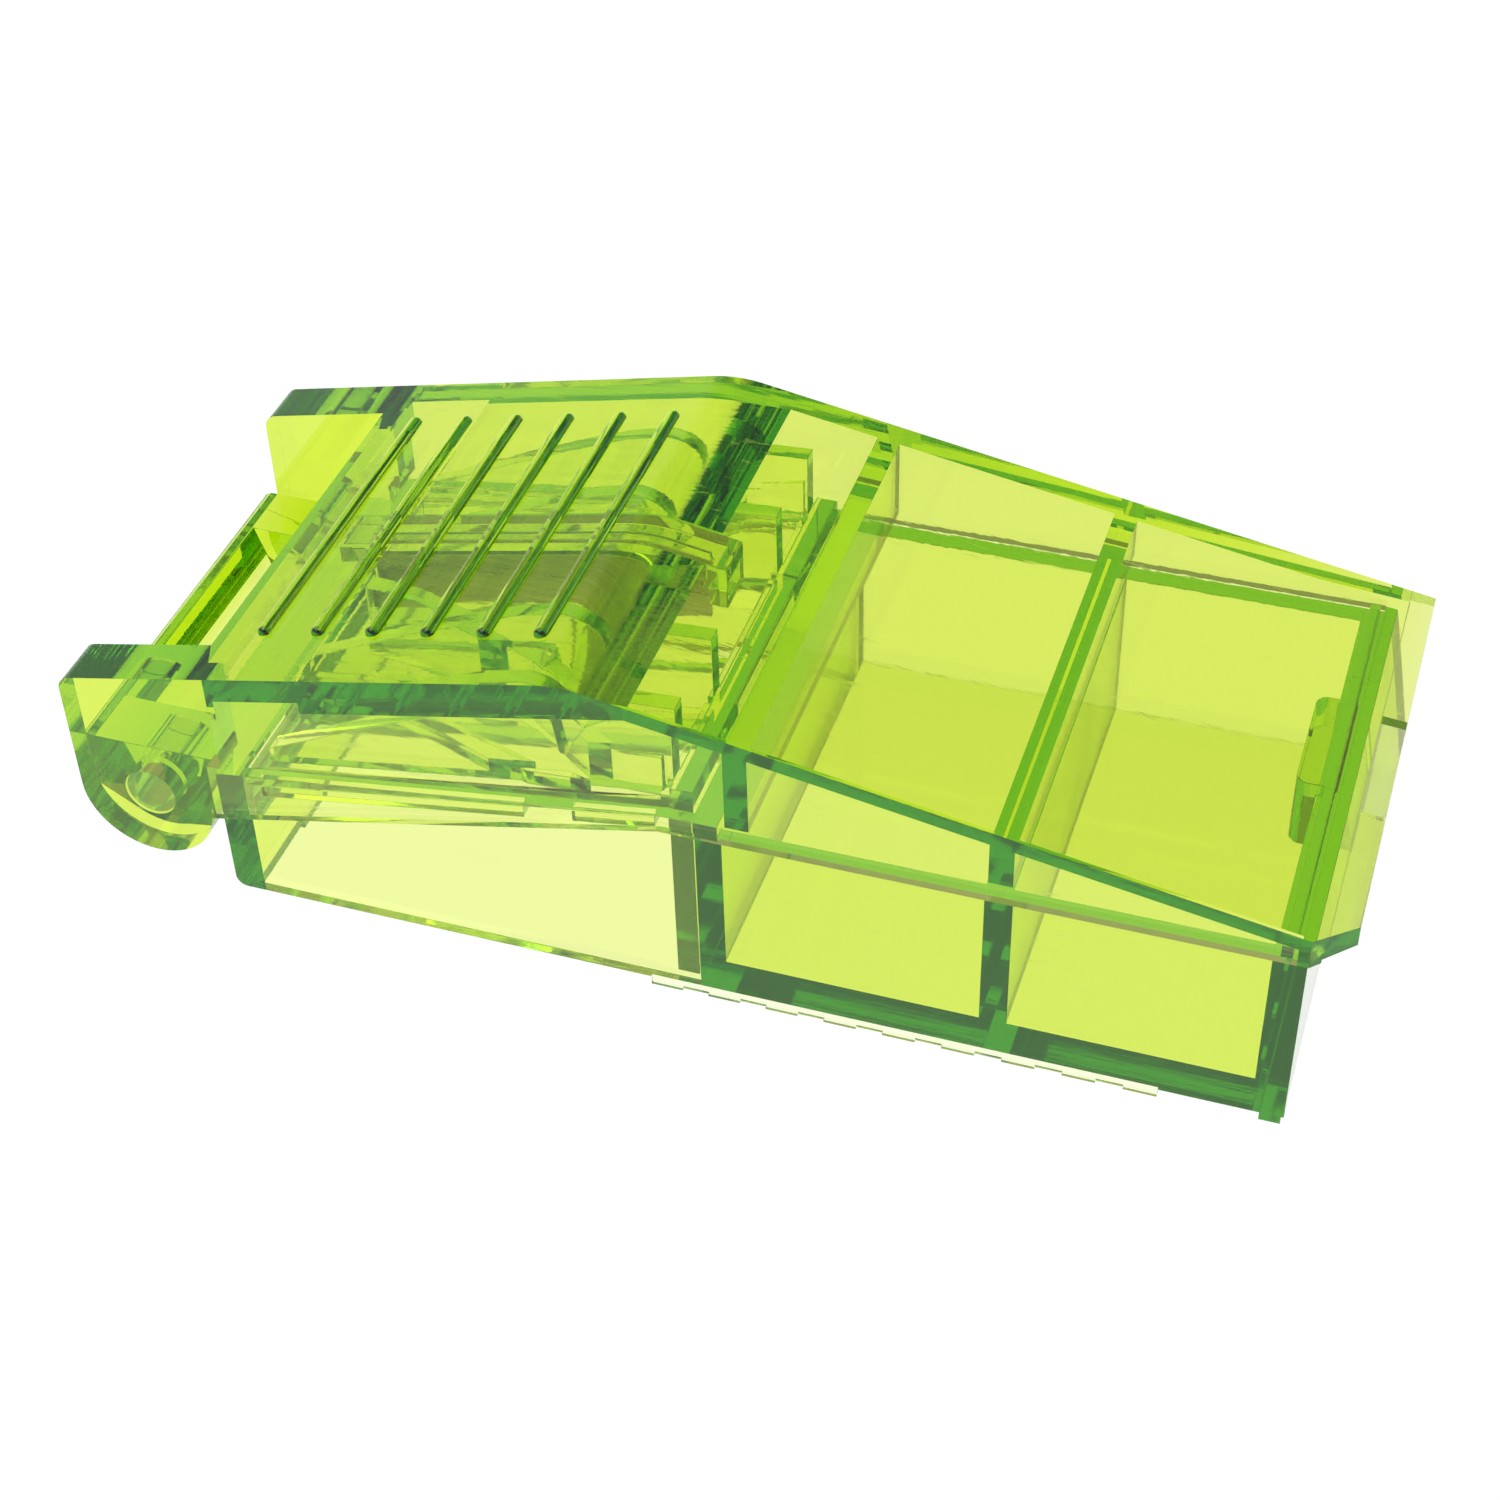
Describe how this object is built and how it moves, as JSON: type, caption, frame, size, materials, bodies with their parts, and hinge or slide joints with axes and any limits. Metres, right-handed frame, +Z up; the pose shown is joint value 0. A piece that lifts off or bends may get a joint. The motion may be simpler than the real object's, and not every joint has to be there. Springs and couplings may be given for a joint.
{
  "type": "pill cutter",
  "caption": "Clear pill cutter with a hinged lid that carries the blade, a cradle that centres the pill, and storage compartments under the same lid.",
  "frame": {"origin": "middle of the closed part's bounding box, on the surface that it rests on", "axes": "+X from the hinge end to the thumb lip, +Y from the front side wall to the back one, +Z up out of the tray"},
  "size_m": [0.0936, 0.038, 0.0275],
  "materials": {
    "tray_plastic": "clear lime green, polished",
    "cradle_plastic": "clear lime green, polished",
    "lid_plastic": "clear lime green, polished",
    "holder_plastic": "clear lime green, polished",
    "blade_steel": "ground thin steel",
    "pin_plastic": "clear lime green, polished"
  },
  "bodies": {
    "base": {"base_tray": "tray_plastic", "pill_cradle": "cradle_plastic"},
    "lid": {"lid": "lid_plastic", "blade_holder": "holder_plastic", "blade": "blade_steel", "hinge_pins": "pin_plastic"}
  },
  "joints": [
    {"name": "lid_hinge", "type": "hinge", "parent": "base", "child": "lid", "pos_m": [-0.0403, 0, 0.0089], "axis": [0, -1, 0], "range_deg": [0, 110]}
  ]
}
